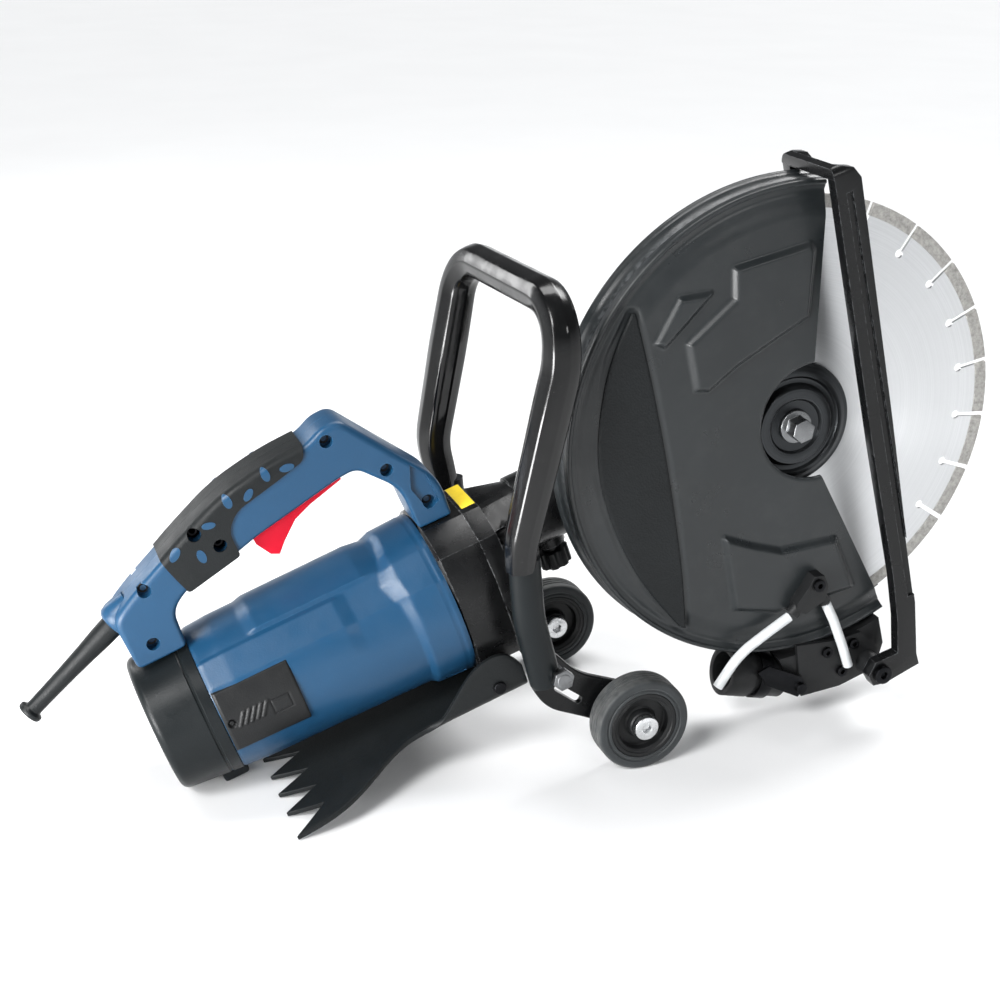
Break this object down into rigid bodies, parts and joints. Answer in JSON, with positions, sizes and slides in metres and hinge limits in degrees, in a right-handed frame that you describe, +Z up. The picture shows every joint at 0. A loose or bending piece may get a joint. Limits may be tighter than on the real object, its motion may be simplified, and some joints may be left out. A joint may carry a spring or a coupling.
{
  "type": "concrete cut-off saw",
  "caption": "Electric concrete saw: guarded diamond blade on a geared motor, D-handle with trigger, loop handle, swinging depth frame and guide wheels.",
  "frame": {"origin": "centre of the footprint of the whole saw, on the floor it stands on with its wheels and rear cap down", "axes": "+X towards the blade, +Y to the operator's left, +Z up; the motor's axis rises 19.1 degrees towards +X"},
  "size_m": [0.7567, 0.227, 0.4522],
  "materials": {
    "blue_plastic": "satin, lightly textured moulding",
    "black_plastic": "fine matte moulding",
    "dark_grey_plastic": "satin moulding",
    "black_gloss_rubber": "smooth glossy rubber sleeve",
    "black_rubber": "soft matte rubber",
    "tyre_rubber": "grey-black solid rubber",
    "red_plastic": "satin moulding",
    "guard_paint": "satin black powder coat",
    "frame_paint": "gloss black paint",
    "black_casting": "black painted aluminium casting",
    "blade_steel": "ground steel",
    "diamond_segment": "sintered metal",
    "zinc_steel": "bright zinc plate",
    "bright_steel": "machined steel",
    "black_steel": "black oxide",
    "copper": "wound copper",
    "carbon": "pressed carbon",
    "laminated_steel": "stacked laminations",
    "brass": "machined",
    "white_tube": "translucent white nylon tube",
    "alloy": "cast aluminium"
  },
  "bodies": {
    "saw_body": {"motor_housing": "blue_plastic", "rear_cap": "dark_grey_plastic", "brush_covers": "black_plastic", "brush_holders": "brass", "carbon_brushes": "carbon", "field_core": "laminated_steel", "motor_bearings": "bright_steel", "gear_housing": "black_casting", "gear_neck": "black_casting", "gear_head_cover": "alloy", "layshaft_bearings": "bright_steel", "spindle_bearings": "bright_steel", "housing_screws": "black_steel", "handle_shell_right": "blue_plastic", "handle_shell_left": "blue_plastic", "grip_rubber": "black_rubber", "power_switch": "black_plastic", "trigger_pin": "bright_steel", "handle_screws": "black_steel", "cord_sleeve": "black_rubber", "front_handle": "black_gloss_rubber", "handle_bars": "dark_grey_plastic", "handle_clamp": "black_casting", "wheel_arms": "frame_paint", "arm_bolts": "zinc_steel", "axle_bolts": "zinc_steel", "splash_flap": "black_rubber", "flap_screws": "zinc_steel"},
    "trigger": {"trigger": "red_plastic"},
    "right_wheel": {"wheel_right": "dark_grey_plastic", "tyre_right": "tyre_rubber"},
    "left_wheel": {"wheel_left": "dark_grey_plastic", "tyre_left": "tyre_rubber"},
    "armature": {"armature_core": "copper", "armature_shaft": "bright_steel", "commutator": "copper", "cooling_fan": "black_plastic", "motor_pinion": "bright_steel"},
    "layshaft": {"first_gear": "bright_steel", "layshaft": "bright_steel", "bevel_pinion": "bright_steel"},
    "blade_spindle": {"bevel_gear": "bright_steel", "spindle": "bright_steel", "inner_flange": "bright_steel", "blade_core": "blade_steel", "blade_segments": "diamond_segment", "outer_flange": "black_steel", "blade_bolt": "black_steel"},
    "guard": {"guard_shell": "guard_paint", "guard_side_plate": "guard_paint", "guard_clamp": "zinc_steel", "water_valve": "black_plastic", "water_tubes": "white_tube", "guard_screws": "black_steel", "outlet_box": "black_plastic", "dust_spout": "black_plastic", "spout_clamp": "black_steel", "hinge_bolt": "black_steel"},
    "depth_frame": {"depth_frame": "frame_paint"},
    "clamp_knob": {"clamp_knob": "black_plastic"}
  },
  "joints": [
    {"name": "blade_spin", "type": "hinge", "parent": "saw_body", "child": "blade_spindle", "pos_m": [0.20335, -0.0545, 0.25011], "axis": [0, 1, 0], "continuous": true},
    {"name": "layshaft_spin", "type": "hinge", "parent": "saw_body", "child": "layshaft", "pos_m": [0.0616, -0.0005, 0.20105], "axis": [0.945, 0, 0.3271], "continuous": true},
    {"name": "armature_spin", "type": "hinge", "parent": "saw_body", "child": "armature", "pos_m": [-0.13616, -0.0005, 0.09981], "axis": [0.945, 0, 0.3271], "continuous": true},
    {"name": "trigger_pull", "type": "hinge", "parent": "saw_body", "child": "trigger", "pos_m": [-0.14819, -0.0005, 0.2385], "axis": [0, 1, 0], "range_deg": [0, 6], "stiffness_Nm_per_rad": 1.5, "springref_deg": -5.73},
    {"name": "right_wheel_roll", "type": "hinge", "parent": "saw_body", "child": "right_wheel", "pos_m": [0.0691, -0.0925, 0.03719], "axis": [0, 1, 0], "continuous": true},
    {"name": "left_wheel_roll", "type": "hinge", "parent": "saw_body", "child": "left_wheel", "pos_m": [0.0691, 0.0915, 0.03719], "axis": [0, 1, 0], "continuous": true},
    {"name": "guard_turn", "type": "hinge", "parent": "saw_body", "child": "guard", "pos_m": [0.20335, -0.0405, 0.25011], "axis": [0, 1, 0], "range_deg": [-25, 0]},
    {"name": "depth_frame_swing", "type": "hinge", "parent": "guard", "child": "depth_frame", "pos_m": [0.27908, -0.0545, 0.04352], "axis": [0, 1, 0], "range_deg": [0, 40]},
    {"name": "clamp_knob_turn", "type": "hinge", "parent": "saw_body", "child": "clamp_knob", "pos_m": [0.03252, -0.0005, 0.14443], "axis": [-0.3271, 0, 0.945], "continuous": true}
  ],
  "couplings": [
    {"joint": "layshaft_spin", "follows": "blade_spin", "ratio": -2.8182},
    {"joint": "armature_spin", "follows": "blade_spin", "ratio": 4.697}
  ]
}
